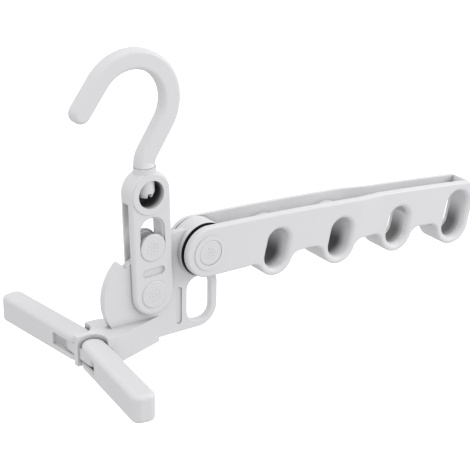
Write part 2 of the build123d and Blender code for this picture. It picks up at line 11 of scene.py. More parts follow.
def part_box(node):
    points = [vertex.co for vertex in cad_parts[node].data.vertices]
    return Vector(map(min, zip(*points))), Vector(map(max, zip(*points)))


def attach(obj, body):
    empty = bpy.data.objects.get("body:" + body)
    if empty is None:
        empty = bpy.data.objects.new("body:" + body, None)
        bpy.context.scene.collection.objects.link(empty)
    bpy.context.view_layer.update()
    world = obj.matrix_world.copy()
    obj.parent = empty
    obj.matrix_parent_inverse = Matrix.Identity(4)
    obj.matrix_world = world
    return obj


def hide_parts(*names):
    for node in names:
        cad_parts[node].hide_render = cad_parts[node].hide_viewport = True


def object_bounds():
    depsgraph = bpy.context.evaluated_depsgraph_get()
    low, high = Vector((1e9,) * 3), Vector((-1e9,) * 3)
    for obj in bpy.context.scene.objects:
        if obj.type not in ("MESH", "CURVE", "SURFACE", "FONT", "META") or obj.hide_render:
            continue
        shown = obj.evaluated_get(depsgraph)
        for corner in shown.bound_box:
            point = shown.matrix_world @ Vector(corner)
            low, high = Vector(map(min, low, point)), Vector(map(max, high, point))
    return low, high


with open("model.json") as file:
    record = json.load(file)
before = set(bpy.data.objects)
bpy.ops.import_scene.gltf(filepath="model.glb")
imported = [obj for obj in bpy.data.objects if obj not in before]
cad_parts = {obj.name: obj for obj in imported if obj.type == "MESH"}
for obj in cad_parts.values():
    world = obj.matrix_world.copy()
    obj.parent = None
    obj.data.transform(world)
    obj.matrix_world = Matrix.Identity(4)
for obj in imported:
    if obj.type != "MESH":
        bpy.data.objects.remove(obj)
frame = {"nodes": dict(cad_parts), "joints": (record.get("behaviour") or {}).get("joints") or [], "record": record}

bl_info = {
    "name": "Folding clothes hanger",
    "version": (1, 0, 0),
    "blender": (4, 5, 0),
    "location": "View3D > Sidebar > Hanger",
    "description": "Dresses the folding clothes hanger in satin white plastic and lights it",
    "category": "Object",
}

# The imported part
CAD_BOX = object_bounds()
NODES = frame["nodes"]
JOINTS = {joint["name"]: joint for joint in frame["joints"]}
BODY_OF = {
    node: body
    for body, members in frame["record"]["behaviour"]["bodies"].items()
    for node in members
}
LINK_PIVOT = Vector(JOINTS["link_pivot"]["pos_m"])
LINK_UP = Vector(JOINTS["hook_swivel"]["axis"])
RAIL_PIVOT = Vector(JOINTS["rail_pivot"]["pos_m"])
RAIL_SHELLS = ("rail_front_shell", "rail_back_shell")
RAIL_SLEEVES = tuple(sorted(node for node in NODES if node.startswith("rail_sleeve_")))
OPEN_SLEEVE = "rail_sleeve_3"

# Points nearer than the weld are made one, edges nearer than the seam gap lie on the piece
# beside them, and faces that turn by less than the flat angle are made one
WELD = 0.000004
SEAM_GAP = 0.00006
FLAT_ANGLE = radians(0.4)

# Sides of the plug that rounds a slot's rim, and steps round its curve
RIM_SIDES = 72
RIM_STEPS = 9

# Where painted shade darkens the plastic deep inside an opening, in metres from a middle
# there. Across the part, it is dark out to Core from the level, and no longer at Fade. Upwards,
# it is dark as far as Low, and no longer at High. It is dark only within Radius, and not beyond
# Far. A limit that is further off than any point of the part leaves that way open.
NO_LIMIT = 1.0
SLOT_PAINTED_SHADE = {
    "Level": 0.0,
    "Core": 0.0035,
    "Fade": 0.0128,
    "Low": -0.008,
    "High": 0.0105,
    "Radius": NO_LIMIT,
    "Far": NO_LIMIT,
}
WINDOW_PAINTED_SHADE = {
    "Level": 0.0,
    "Core": 0.005,
    "Fade": 0.0105,
    "Low": -0.004,
    "High": 0.0085,
    "Radius": 0.0086,
}
BOSS_GAP_PAINTED_SHADE = {
    "Level": 0.0072,
    "Core": 0.001,
    "Fade": 0.0012,
    "Low": NO_LIMIT,
    "High": 2 * NO_LIMIT,
    "Radius": 0.0164,
    "Far": NO_LIMIT,
}

# How far behind the part's middle plane the painted shade in the slots and the window is darkest
PAINTED_SHADE_BEHIND = 0.004

# The link's window: from the pivot up to its middle, the thickness of the wall behind it, and
# the way from which light falls into it, towards which its painted shade gets lighter
WINDOW_HEIGHT = 0.062
WINDOW_BACK = 0.0015
WINDOW_LIGHT = Vector((-0.5, 0, 0.87))


# Sizes and colours that a user may change


class HangerEdgeSettings(bpy.types.PropertyGroup):
    moulding_edge: FloatProperty(
        name="Moulding edge",
        description="Radius that softens the sharp edges of the large mouldings",
        default=0.00035,
        min=0.0,
        unit="LENGTH",
    )
    small_edge: FloatProperty(
        name="Small edge",
        description="Radius that softens the edges of pins, caps and the lock button",
        default=0.00018,
        min=0.0,
        unit="LENGTH",
    )
    sharp_angle: FloatProperty(
        name="Sharp angle",
        description="Edges that bend more than this are softened",
        default=radians(32),
        subtype="ANGLE",
    )
    steps: IntProperty(
        name="Steps",
        description="Faces across each softened edge",
        default=2,
        min=1,
        max=4,
    )


class HangerPipSettings(bpy.types.PropertyGroup):
    count: IntProperty(
        name="Pips",
        description="Raised pips in the outer ring on each pin head",
        default=10,
        min=3,
    )
    ring_share: FloatProperty(
        name="Ring share",
        description="Radius of the outer ring of pips as a share of the head's radius",
        default=0.42,
        min=0.1,
        max=0.9,
    )
    inner_count: IntProperty(
        name="Inner pips",
        description="Raised pips in the inner ring on each pin head",
        default=5,
        min=3,
    )
    inner_share: FloatProperty(
        name="Inner share",
        description="Radius of the inner ring of pips as a share of the head's radius",
        default=0.18,
        min=0.05,
        max=0.9,
    )
    pip_radius: FloatProperty(
        name="Pip radius",
        description="Radius of one pip",
        default=0.0008,
        unit="LENGTH",
    )
    pip_height: FloatProperty(
        name="Pip height",
        description="How far a pip stands out of the head",
        default=0.00022,
        unit="LENGTH",
    )
    head_growth: FloatProperty(
        name="Head growth",
        description="How much wider the heads are made to look, inside their own gaps",
        default=0.00023,
        unit="LENGTH",
    )
    disc_growth: FloatProperty(
        name="Disc growth",
        description="The same for the lock's discs, which slide in their tracks",
        default=0.00015,
        unit="LENGTH",
    )


class HangerFinishSettings(bpy.types.PropertyGroup):
    plastic_colour: FloatVectorProperty(
        name="Plastic",
        description="Colour of the moulded white plastic",
        subtype="COLOR",
        size=3,
        min=0.0,
        max=1.0,
        default=(0.7, 0.7, 0.715),
    )
    cap_colour: FloatVectorProperty(
        name="Caps",
        description="Colour of the pins, caps and lock button",
        subtype="COLOR",
        size=3,
        min=0.0,
        max=1.0,
        default=(0.69, 0.69, 0.705),
    )
    gloss_roughness: FloatProperty(
        name="Roughness",
        description="How far the plastic's satin sheen spreads",
        default=0.36,
        min=0.0,
        max=1.0,
    )
    grain_size: FloatProperty(
        name="Grain size",
        description="Size of the fine grain that the mould leaves",
        default=0.0009,
        unit="LENGTH",
    )
    grain_depth: FloatProperty(
        name="Grain depth",
        description="Depth of the fine grain",
        default=0.000012,
        unit="LENGTH",
    )
    cap_grain_share: FloatProperty(
        name="Cap grain share",
        description="Depth of the grain on pins, caps and the lock button as a share of the rest",
        default=0.6,
        min=0.0,
        max=1.0,
    )
    cloudiness: FloatProperty(
        name="Cloudiness",
        description="How far the colour varies slowly over a moulding",
        default=0.025,
        min=0.0,
        max=1.0,
    )
    rubbing: FloatProperty(
        name="Rubbing",
        description="How much smoother the rubbed spots are than the rest",
        default=0.08,
        min=0.0,
        max=1.0,
    )
    # The next three values set the painted shade that darkens the plastic's colour in gaps and recesses
    gap_shade: FloatProperty(
        name="Gap shade",
        description="How far the dust that settles in gaps and recesses darkens the plastic",
        default=0.6,
        min=0.0,
        max=1.0,
    )
    open_shade: FloatProperty(
        name="Open shade",
        description="The same darkening on the hook and the link, whose gaps are wide",
        default=0.2,
        min=0.0,
        max=1.0,
    )
    gap_reach: FloatProperty(
        name="Gap reach",
        description="Width of the gaps and recesses that hold dust",
        default=0.011,
        unit="LENGTH",
    )
    # The next four values set the painted shade deep inside the slots, the link's window and the boss gap
    slot_depth_shade: FloatProperty(
        name="Slot depth shade",
        description="How far the two slots near the pivot darken deep inside",
        default=0.97,
        min=0.0,
        max=1.0,
    )
    narrow_slot_shade: FloatProperty(
        name="Narrow slot shade",
        description="How far the two slots towards the tip darken deep inside",
        default=0.82,
        min=0.0,
        max=1.0,
    )
    window_depth_shade: FloatProperty(
        name="Window depth shade",
        description="How far the link's round window darkens deep inside",
        default=0.9,
        min=0.0,
        max=1.0,
    )
    boss_gap_shade: FloatProperty(
        name="Boss gap shade",
        description="How dark the gap between the body's boss and the rail is",
        default=0.97,
        min=0.0,
        max=1.0,
    )


class HangerRailSettings(bpy.types.PropertyGroup):
    droop: FloatProperty(
        name="Droop",
        description="How far the rail hangs down from level towards its tip",
        default=radians(4.4),
        subtype="ANGLE",
    )
    first_slot: FloatProperty(
        name="First slot",
        description="From the rail's pivot to its first slot",
        default=0.0495,
        unit="LENGTH",
    )
    slot_pitch: FloatProperty(
        name="Slot pitch",
        description="From one slot to the next",
        default=0.0482,
        unit="LENGTH",
    )
    slot_lean: FloatProperty(
        name="Slot lean",
        description="Lean of each slot towards the tip",
        default=radians(7),
        subtype="ANGLE",
    )
    slot_width: FloatProperty(
        name="Slot width",
        description="Width of the slots, but for the last",
        default=0.0156,
        unit="LENGTH",
    )
    slot_height: FloatProperty(
        name="Slot height",
        description="Height of the slots, but for the last",
        default=0.0246,
        unit="LENGTH",
    )
    slot_middle: FloatProperty(
        name="Slot middle",
        description="Height of the slots' middle over the pivot's line",
        default=-0.0054,
        unit="LENGTH",
    )
    tip_slot_width: FloatProperty(
        name="Tip slot width",
        description="Width of the last slot",
        default=0.017,
        unit="LENGTH",
    )
    tip_slot_height: FloatProperty(
        name="Tip slot height",
        description="Height of the last slot",
        default=0.031,
        unit="LENGTH",
    )
    tip_slot_middle: FloatProperty(
        name="Tip slot middle",
        description="Height of the last slot's middle over the pivot's line",
        default=-0.0043,
        unit="LENGTH",
    )
    rim_radius: FloatProperty(
        name="Rim radius",
        description="Radius of the rounded rim of each slot",
        default=0.003,
        unit="LENGTH",
    )
    sleeve_wall: FloatProperty(
        name="Sleeve wall",
        description="Wall round each slot between the shells, as the solids have it",
        default=0.0022,
        unit="LENGTH",
    )
    first_growth: FloatProperty(
        name="First growth",
        description="How much thicker the first sleeve is made to look",
        default=0.0024,
        unit="LENGTH",
    )
    second_growth: FloatProperty(
        name="Second growth",
        description="How much thicker the second sleeve is made to look",
        default=0.0037,
        unit="LENGTH",
    )
    tip_growth: FloatProperty(
        name="Tip growth",
        description="The same for the last sleeve, less than zero for a thinner one",
        default=-0.0014,
        unit="LENGTH",
    )
    open_top_drop: FloatProperty(
        name="Open top drop",
        description="From the third slot's top down to where its sleeve is open",
        default=0.0072,
        unit="LENGTH",
    )


class HangerViewSettings(bpy.types.PropertyGroup):
    around: FloatProperty(
        name="Around",
        description="Turn of the camera to the left of straight front",
        default=radians(31.8),
        subtype="ANGLE",
    )
    above: FloatProperty(
        name="Above",
        description="Height of the camera as an angle",
        default=radians(24.7),
        subtype="ANGLE",
    )
    roll: FloatProperty(
        name="Roll",
        description="Turn of the camera about its own line of sight",
        default=radians(-0.49),
        subtype="ANGLE",
    )
    distance: FloatProperty(
        name="Distance",
        description="From the camera to the link's pivot",
        default=0.883,
        unit="LENGTH",
    )
    lens: FloatProperty(
        name="Lens",
        description="Focal length on a sensor 36 mm wide",
        default=116.5,
    )
    shift_across: FloatProperty(
        name="Shift across",
        description="Sideways shift of the frame",
        default=0.182,
    )
    shift_up: FloatProperty(
        name="Shift up",
        description="Upward shift of the frame",
        default=0.1183,
    )


class HangerStageSettings(bpy.types.PropertyGroup):
    floor_drop: FloatProperty(
        name="Floor drop",
        description="From the hanger's lowest point down to the floor",
        default=0.16,
        unit="LENGTH",
    )
    floor_reach: FloatProperty(
        name="Floor reach",
        description="From the middle of the floor to each of its sides",
        default=4.0,
        unit="LENGTH",
    )
    floor_lift: FloatProperty(
        name="Floor lift",
        description="Light added to the floor where the camera sees it, so that it is white",
        default=0.8,
        min=0.0,
    )
    floor_colour: FloatVectorProperty(
        name="Floor",
        description="Colour of the floor",
        subtype="COLOR",
        size=3,
        min=0.0,
        max=1.0,
        default=(0.6, 0.6, 0.6),
    )
    room_light: FloatProperty(
        name="Room light",
        description="Strength of the even light from all round",
        default=0.96,
        min=0.0,
    )
    key_power: FloatProperty(
        name="Key light",
        description="Power of the soft lamp in front on the left",
        default=1.0,
        min=0.0,
        unit="POWER",
    )
    top_power: FloatProperty(
        name="Top light",
        description="Power of the large soft lamp above",
        default=1.2,
        min=0.0,
        unit="POWER",
    )
    fill_power: FloatProperty(
        name="Fill light",
        description="Power of the soft lamp in front on the right",
        default=4.2,
        min=0.0,
        unit="POWER",
    )


# Helpers for node trees and objects


def add_node(tree, kind, inputs, **fields):
    """A new node with its fields set, and each input linked to a socket or set to a value."""
    made = tree.nodes.new(kind)
    for field, value in fields.items():
        setattr(made, field, value)
    for key, value in inputs.items():
        if isinstance(value, bpy.types.NodeSocket):
            tree.links.new(value, made.inputs[key])
        else:
            made.inputs[key].default_value = value
    return made


def maths(tree, operation, *values):
    """What a maths node makes of these numbers and sockets."""
    inputs = dict(enumerate(values))
    return add_node(tree, "ShaderNodeMath", inputs, operation=operation).outputs[0]


def vector_maths(tree, operation, inputs, output="Vector"):
    """What a vector maths node makes of its inputs."""
    made = add_node(tree, "ShaderNodeVectorMath", inputs, operation=operation)
    return made.outputs[output]


def new_group(name, kind, inputs, outputs):
    """A node group with these sockets, the ends of its inputs and the ends of its outputs."""
    group = bpy.data.node_groups.new(name, kind)
    for side, sockets in (("INPUT", inputs), ("OUTPUT", outputs)):
        for label, holds in sockets.items():
            group.interface.new_socket(label, in_out=side, socket_type="NodeSocket" + holds)
    entry = group.nodes.new("NodeGroupInput")
    result = group.nodes.new("NodeGroupOutput")
    return group, entry.outputs, result.inputs


def shared_group(name, make):
    """The node group of this name, made where it is first needed."""
    return bpy.data.node_groups.get(name) or make()


def placed(name, data):
    """A new object in the scene with this mesh, lamp or camera."""
    thing = bpy.data.objects.new(name, data)
    bpy.context.scene.collection.objects.link(thing)
    return thing


def settled_mesh(thing):
    """The plain mesh that an object's modifiers make."""
    bpy.context.view_layer.update()
    settled = thing.evaluated_get(bpy.context.evaluated_depsgraph_get())
    mesh = bpy.data.meshes.new_from_object(settled)
    if not mesh.polygons:
        raise RuntimeError("The modifiers left nothing of " + thing.name)
    return mesh


# Materials


def grain_and_painted_shade_group():
    """Fine grain of the mould, faint cloudiness, painted shade in recesses and rubbed spots."""
    group, entry, result = new_group(
        "Grain and painted shade",
        "ShaderNodeTree",
        {
            "Colour": "Color",
            "Roughness": "Float",
            "Grain size": "Float",
            "Grain depth": "Float",
            "Cloudiness": "Float",
            "Rubbing": "Float",
            "Recess shade": "Float",
            "Recess reach": "Float",
        },
        {"Colour": "Color", "Roughness": "Float", "Normal": "Vector"},
    )
    place = group.nodes.new("ShaderNodeTexCoord").outputs["Object"]

    # Fine grain that stands out by its depth
    grain = add_node(
        group,
        "ShaderNodeTexNoise",
        {
            "Vector": place,
            "Scale": maths(group, "DIVIDE", 1.0, entry["Grain size"]),
            "Detail": 3.0,
            "Roughness": 0.65,
        },
    )
    bump = add_node(
        group,
        "ShaderNodeBump",
        {"Strength": 1.0, "Distance": entry["Grain depth"], "Height": grain.outputs["Fac"]},
    )
    group.links.new(bump.outputs["Normal"], result["Normal"])

    # Slow cloudiness of the colour, as thick mouldings have
    cloud = add_node(
        group, "ShaderNodeTexNoise", {"Vector": place, "Scale": 26.0, "Detail": 2.0}
    )
    lift = maths(group, "MULTIPLY_ADD", entry["Cloudiness"], -0.5, 1.0)
    spread = maths(group, "MULTIPLY_ADD", cloud.outputs["Fac"], entry["Cloudiness"], lift)
    clouded = vector_maths(group, "SCALE", {0: entry["Colour"], "Scale": spread})

    # Painted shade: gaps and recesses are darkened where little light reaches into them
    recess = add_node(
        group, "ShaderNodeAmbientOcclusion", {"Distance": entry["Recess reach"]}, samples=8
    )
    openness = add_node(
        group,
        "ShaderNodeMapRange",
        {
            "Value": recess.outputs["AO"],
            "From Min": 0.1,
            "From Max": 0.7,
            "To Min": maths(group, "SUBTRACT", 1.0, entry["Recess shade"]),
        },
    )
    shaded_in_recesses = vector_maths(group, "SCALE", {0: clouded, "Scale": openness.outputs["Result"]})
    group.links.new(shaded_in_recesses, result["Colour"])

    # Rubbed spots are a little smoother than the grain
    spots = add_node(
        group, "ShaderNodeTexNoise", {"Vector": place, "Scale": 90.0, "Detail": 5.0}
    )
    cut = add_node(
        group,
        "ShaderNodeMapRange",
        {"Value": spots.outputs["Fac"], "From Min": 0.52, "From Max": 0.72},
    )
    smoother = maths(group, "MULTIPLY", cut.outputs["Result"], entry["Rubbing"])
    rough = maths(group, "SUBTRACT", entry["Roughness"], smoother)
    group.links.new(rough, result["Roughness"])
    return group


def faded(group, value, start, end):
    """One below the start, nought above the end, with a smooth step between."""
    step = add_node(
        group,
        "ShaderNodeMapRange",
        {"Value": value, "From Min": start, "From Max": end, "To Min": 1.0, "To Max": 0.0},
        interpolation_type="SMOOTHSTEP",
    )
    return step.outputs["Result"]


def depth_shade_group():
    """Paints shade into a colour deep inside an opening, by places on Object coordinates."""
    group, entry, result = new_group(
        "Depth shade",
        "ShaderNodeTree",
        {
            "Colour": "Color",
            "Middle": "Vector",
            "Up": "Vector",
            "Level": "Float",
            "Core": "Float",
            "Fade": "Float",
            "Low": "Float",
            "High": "Float",
            "Radius": "Float",
            "Far": "Float",
            "Strength": "Float",
        },
        {"Colour": "Color"},
    )
    place = group.nodes.new("ShaderNodeTexCoord").outputs["Object"]
    away = vector_maths(group, "SUBTRACT", {0: place, 1: entry["Middle"]})
    parts = add_node(group, "ShaderNodeSeparateXYZ", {"Vector": away})

    # Darkest where the distance across is near the level
    across = maths(group, "ABSOLUTE", parts.outputs["Y"])
    off_level = maths(group, "ABSOLUTE", maths(group, "SUBTRACT", across, entry["Level"]))
    depth = faded(group, off_level, entry["Core"], entry["Fade"])

    # The painted shade is lighter towards the top of the opening, where light falls in
    height = vector_maths(group, "DOT_PRODUCT", {0: away, 1: entry["Up"]}, "Value")
    low = faded(group, height, entry["Low"], entry["High"])

    # Only round the opening's axis, and not beyond the wall that closes it
    flat = vector_maths(group, "MULTIPLY", {0: away, 1: (1.0, 0.0, 1.0)})
    reach = vector_maths(group, "LENGTH", {0: flat}, "Value")
    inside = maths(group, "LESS_THAN", reach, entry["Radius"])
    before = maths(group, "LESS_THAN", parts.outputs["Y"], entry["Far"])

    mask = entry["Strength"]
    for part in (depth, low, inside, before):
        mask = maths(group, "MULTIPLY", mask, part)
    kept = maths(group, "SUBTRACT", 1.0, mask)
    darker = vector_maths(group, "SCALE", {0: entry["Colour"], "Scale": kept})
    group.links.new(darker, result["Colour"])
    return group


def plastic(name, finish, colour=None, grain_share=1.0, shade=None):
    """A satin moulded plastic with its own grain, cloudiness and rubbing, and painted shade in its gaps and
    recesses.
    """
    colour = finish.plastic_colour if colour is None else colour
    shade = finish.gap_shade if shade is None else shade
    material = bpy.data.materials.new(name)
    material.use_nodes = True
    tree = material.node_tree
    shader = tree.nodes["Principled BSDF"]
    shader.inputs["IOR"].default_value = 1.49
    shader.inputs["Specular IOR Level"].default_value = 0.45
    grain = add_node(
        tree,
        "ShaderNodeGroup",
        {
            "Colour": (*colour, 1.0),
            "Roughness": finish.gloss_roughness,
            "Grain size": finish.grain_size,
            "Grain depth": finish.grain_depth * grain_share,
            "Cloudiness": finish.cloudiness,
            "Rubbing": finish.rubbing,
            "Recess shade": shade,
            "Recess reach": finish.gap_reach,
        },
        node_tree=shared_group("Grain and painted shade", grain_and_painted_shade_group),
    )
    # The colour from the group carries painted shade in gaps and recesses
    tree.links.new(grain.outputs["Colour"], shader.inputs["Base Color"])
    tree.links.new(grain.outputs["Roughness"], shader.inputs["Roughness"])
    tree.links.new(grain.outputs["Normal"], shader.inputs["Normal"])
    return material


def cap_plastic(name, finish):
    """The plastic of the small round parts, a little darker and with a shallower grain."""
    return plastic(name, finish, colour=finish.cap_colour, grain_share=finish.cap_grain_share)


def darken_inside(material, depth, middle, up, strength):
    """Puts painted depth shade between the material's grain and its shader."""
    tree = material.node_tree
    base = tree.nodes["Principled BSDF"].inputs["Base Color"]
    shade = add_node(
        tree,
        "ShaderNodeGroup",
        {
            "Colour": base.links[0].from_socket,
            "Middle": middle,
            "Up": up,
            "Strength": strength,
            **depth,
        },
        node_tree=shared_group("Depth shade", depth_shade_group),
    )
    tree.links.new(shade.outputs["Colour"], base)


def painted_shade_slot_plastic(name, up, rail, finish, strength):
    """The rail's plastic with painted shade inside a slot, darkest low down and deep inside."""
    material = plastic(name, finish)
    middle = RAIL_PIVOT + up * rail.slot_middle + Vector((0, PAINTED_SHADE_BEHIND, 0))
    darken_inside(material, SLOT_PAINTED_SHADE, middle, up, strength)
    return material


# Pieces


def nearness(nodes):
    """A function that tells whether a point lies on one of these nodes."""
    trees = []
    for node in nodes:
        shape = bmesh.new()
        shape.from_mesh(NODES[node].data)
        trees.append(BVHTree.FromBMesh(shape))
        shape.free()
    return lambda point: any(tree.find_nearest(point, SEAM_GAP)[0] for tree in trees)


def soft_copy(node, name, edge, edges, material, beside=(), shaped=None):
    """A copy of a node's mesh with softened edges, but for those on the nodes beside it."""
    mesh = shaped or NODES[node].data.copy()
    mesh.name = name
    shape = bmesh.new()
    shape.from_mesh(mesh)
    bmesh.ops.remove_doubles(shape, verts=shape.verts, dist=WELD)
    bmesh.ops.dissolve_limit(
        shape, angle_limit=FLAT_ANGLE, verts=shape.verts, edges=shape.edges
    )
    for face in shape.faces:
        face.smooth = True
    touches = nearness(beside)
    softened = shape.edges.layers.float.new("bevel_weight_edge")
    for rim in shape.edges:
        bends = rim.calc_face_angle(0.0) > edges.sharp_angle
        if bends and not all(touches(vertex.co) for vertex in rim.verts):
            rim[softened] = 1.0
    shape.to_mesh(mesh)
    shape.free()
    mesh.set_sharp_from_angle(angle=edges.sharp_angle)
    piece = placed(name, mesh)
    mesh.materials.clear()
    mesh.materials.append(material)
    if edge > 0:
        bevel = piece.modifiers.new("Soft edges", "BEVEL")
        bevel.width = edge
        bevel.segments = edges.steps
        bevel.limit_method = "WEIGHT"
        bevel.use_clamp_overlap = True
        bevel.harden_normals = False
        weigh = piece.modifiers.new("Even shading", "WEIGHTED_NORMAL")
        weigh.keep_sharp = True
    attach(piece, BODY_OF[node])
    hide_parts(node)
    return piece


def pip_ring_tree():
    """Two rings of pips on each face of a pin, with their numbers and sizes as inputs."""
    tree, entry, result = new_group(
        "Pip rings",
        "GeometryNodeTree",
        {
            "Pips": "Int",
            "Ring radius": "Float",
            "Inner pips": "Int",
            "Inner radius": "Float",
            "Pip radius": "Float",
            "Pip height": "Float",
            "Half span": "Float",
            "Material": "Material",
        },
        {"Geometry": "Geometry"},
    )
    rings = tree.nodes.new("GeometryNodeJoinGeometry")
    for count, radius in (("Pips", "Ring radius"), ("Inner pips", "Inner radius")):
        sizes = {"Vertices": entry[count], "Radius": entry[radius]}
        ring = add_node(tree, "GeometryNodeMeshCircle", sizes)
        tree.links.new(ring.outputs["Mesh"], rings.inputs["Geometry"])
    ball = add_node(
        tree, "GeometryNodeMeshUVSphere", {"Segments": 16, "Rings": 10, "Radius": 1.0}
    )
    flatten = add_node(
        tree,
        "ShaderNodeCombineXYZ",
        {"X": entry["Pip radius"], "Y": entry["Pip radius"], "Z": entry["Pip height"]},
    )
    spread = add_node(
        tree,
        "GeometryNodeInstanceOnPoints",
        {
            "Points": rings.outputs["Geometry"],
            "Instance": ball.outputs["Mesh"],
            "Scale": flatten.outputs["Vector"],
        },
    )
    both = tree.nodes.new("GeometryNodeJoinGeometry")
    for side in (1.0, -1.0):
        rise = maths(tree, "MULTIPLY", entry["Half span"], side)
        place = add_node(tree, "ShaderNodeCombineXYZ", {"Z": rise})
        shift = add_node(
            tree,
            "GeometryNodeTransform",
            {"Geometry": spread.outputs["Instances"], "Translation": place.outputs["Vector"]},
        )
        tree.links.new(shift.outputs["Geometry"], both.inputs["Geometry"])
    real = add_node(
        tree, "GeometryNodeRealizeInstances", {"Geometry": both.outputs["Geometry"]}
    )
    smooth = add_node(
        tree, "GeometryNodeSetShadeSmooth", {"Geometry": real.outputs["Geometry"]}
    )
    paint = add_node(
        tree,
        "GeometryNodeSetMaterial",
        {"Geometry": smooth.outputs["Geometry"], "Material": entry["Material"]},
    )
    tree.links.new(paint.outputs["Geometry"], result["Geometry"])
    return tree


def pip_rings(front_node, back_node, name, pips, material):
    """Raised pips on both faces of a pin, as one plain mesh on the pin's body."""
    low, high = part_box(front_node)
    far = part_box(back_node)[1]
    middle = Vector(((low.x + high.x) / 2, (low.y + far.y) / 2, (low.z + high.z) / 2))
    radius = (high.x - low.x) / 2
    values = {
        "Pips": pips.count,
        "Ring radius": pips.ring_share * radius,
        "Inner pips": pips.inner_count,
        "Inner radius": pips.inner_share * radius,
        "Pip radius": pips.pip_radius,
        "Pip height": pips.pip_height,
        "Half span": (far.y - low.y) / 2,
        "Material": material,
    }
    holder = placed(name + "_rule", bpy.data.meshes.new(name + "_rule"))
    modifier = holder.modifiers.new("Pip rings", "NODES")
    modifier.node_group = shared_group("Pip rings", pip_ring_tree)
    for item in modifier.node_group.interface.items_tree:
        if item.in_out == "INPUT":
            modifier[item.identifier] = values[item.name]
    mesh = settled_mesh(holder)
    mesh.name = name
    bpy.data.objects.remove(holder)
    mesh.transform(Matrix.Translation(middle) @ Matrix.Rotation(radians(90), 4, "X"))
    piece = placed(name, mesh)
    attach(piece, BODY_OF[front_node])


class Slot:
    """Place and outline of one of the rail's slots, in the rail's own plane."""

    def __init__(self, rail, index):
        last = index == len(RAIL_SLEEVES) - 1
        width = rail.tip_slot_width if last else rail.slot_width
        height = rail.tip_slot_height if last else rail.slot_height
        middle = rail.tip_slot_middle if last else rail.slot_middle
        self.radius = width / 2
        self.half_run = (height - width) / 2
        self.top = middle + height / 2
        along = Vector((cos(rail.droop), 0, -sin(rail.droop)))
        self.up = Vector((sin(rail.droop), 0, cos(rail.droop)))
        across = rail.first_slot + index * rail.slot_pitch
        self.middle = RAIL_PIVOT + along * across + self.up * middle
        self.axis = self.up * cos(rail.slot_lean) + along * sin(rail.slot_lean)
        self.side = along * cos(rail.slot_lean) - self.up * sin(rail.slot_lean)

    def outward(self, point):
        """From the slot's middle line straight out to a point, across the rail's plane."""
        away = point - self.middle
        away.y = 0
        run = max(-self.half_run, min(self.half_run, away.dot(self.axis)))
        return away - self.axis * run

    def ring(self, offset, depth):
        """Points round the slot, this far out from its wall, at this place across the rail."""
        points = []
        for step in range(RIM_SIDES):
            turn = 2 * pi * (step + 0.5) / RIM_SIDES
            run = self.half_run if sin(turn) > 0 else -self.half_run
            reach = self.radius + offset
            flat = self.side * (reach * cos(turn)) + self.axis * (reach * sin(turn) + run)
            points.append(self.middle + flat + Vector((0, depth, 0)))
        return points


def rim_cutter(slot, face, inward, radius):
    """A flared plug that rounds a slot's rim when it is taken away from a shell."""
    overrun = radius / 10
    rings = [slot.ring(radius, face - inward * radius)]
    for step in range(RIM_STEPS + 1):
        turn = radians(90) * step / RIM_STEPS
        depth = radius * (1 - cos(turn))
        rings.append(slot.ring(radius * (1 - sin(turn)), face + inward * depth))
    rings.append(slot.ring(-overrun, face + inward * (radius + overrun)))
    shape = bmesh.new()
    loops = [[shape.verts.new(point) for point in ring] for ring in rings]
    for near, far in zip(loops, loops[1:]):
        for step in range(RIM_SIDES):
            after = (step + 1) % RIM_SIDES
            shape.faces.new((near[step], near[after], far[after], far[step]))
    shape.faces.new(loops[0])
    shape.faces.new(loops[-1])
    bmesh.ops.recalc_face_normals(shape, faces=shape.faces)
    mesh = bpy.data.meshes.new("rim_cutter")
    shape.to_mesh(mesh)
    shape.free()
    return placed("rim_cutter", mesh)


def merged(node):
    """A copy of a node's mesh whose triangles share their points."""
    mesh = NODES[node].data.copy()
    shape = bmesh.new()
    shape.from_mesh(mesh)
    bmesh.ops.remove_doubles(shape, verts=shape.verts, dist=WELD)
    shape.to_mesh(mesh)
    shape.free()
    return mesh


def shell_with_round_rims(node, slots, rim_radius):
    """A rail shell's mesh with a broad rounding round each slot on its outer face."""
    inward = 1 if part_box(node)[0].y < 0 else -1
    blank = placed(node + "_blank", merged(node))
    cutters = []
    for slot in slots:
        near = [
            vertex.co.y
            for vertex in blank.data.vertices
            if slot.outward(vertex.co).length < slot.radius + rim_radius
        ]
        face = min(near) if inward > 0 else max(near)
        cutter = rim_cutter(slot, face, inward, rim_radius)
        cutters.append(cutter)
        cut = blank.modifiers.new("Round rim", "BOOLEAN")
        cut.operation = "DIFFERENCE"
        cut.solver = "EXACT"
        cut.object = cutter
    mesh = settled_mesh(blank)
    for spare in [blank, *cutters]:
        bpy.data.objects.remove(spare)
    return mesh


def wider_head(node, growth):
    """A headed pin's or cap's mesh with its widest wall moved out a little."""
    mesh = merged(node)
    low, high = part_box(node)
    middle = Vector(((low.x + high.x) / 2, 0, (low.z + high.z) / 2))
    flats = [vertex.co - middle for vertex in mesh.vertices]
    for away in flats:
        away.y = 0
    widest = max(away.length for away in flats)
    for vertex, away in zip(mesh.vertices, flats):
        if away.length > widest - growth / 2:
            vertex.co += away.normalized() * growth
    return mesh


